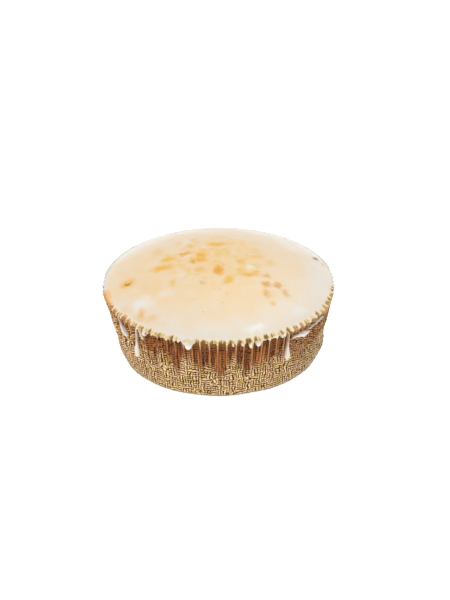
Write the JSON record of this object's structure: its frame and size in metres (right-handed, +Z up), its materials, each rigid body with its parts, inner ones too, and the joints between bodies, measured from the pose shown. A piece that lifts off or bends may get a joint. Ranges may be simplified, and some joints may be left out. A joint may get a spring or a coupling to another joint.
{
  "type": "lemon poppy seed cake",
  "caption": "Round domed lemon and poppy seed cake under a poured glaze that runs over the rim of its pleated paper baking case.",
  "frame": {"origin": "centre of the underside of the paper case, on the surface that the cake stands on", "axes": "+Z up, through the middle of the dome; -Y towards the side that the picture shows; +X to that side's right"},
  "size_m": [0.1558, 0.1558, 0.0594],
  "materials": {
    "sponge": "matte",
    "glaze": "satin",
    "case_paper": "matte"
  },
  "bodies": {
    "root": {"sponge": "sponge", "glaze": "glaze", "paper_case": "case_paper"}
  },
  "joints": []
}
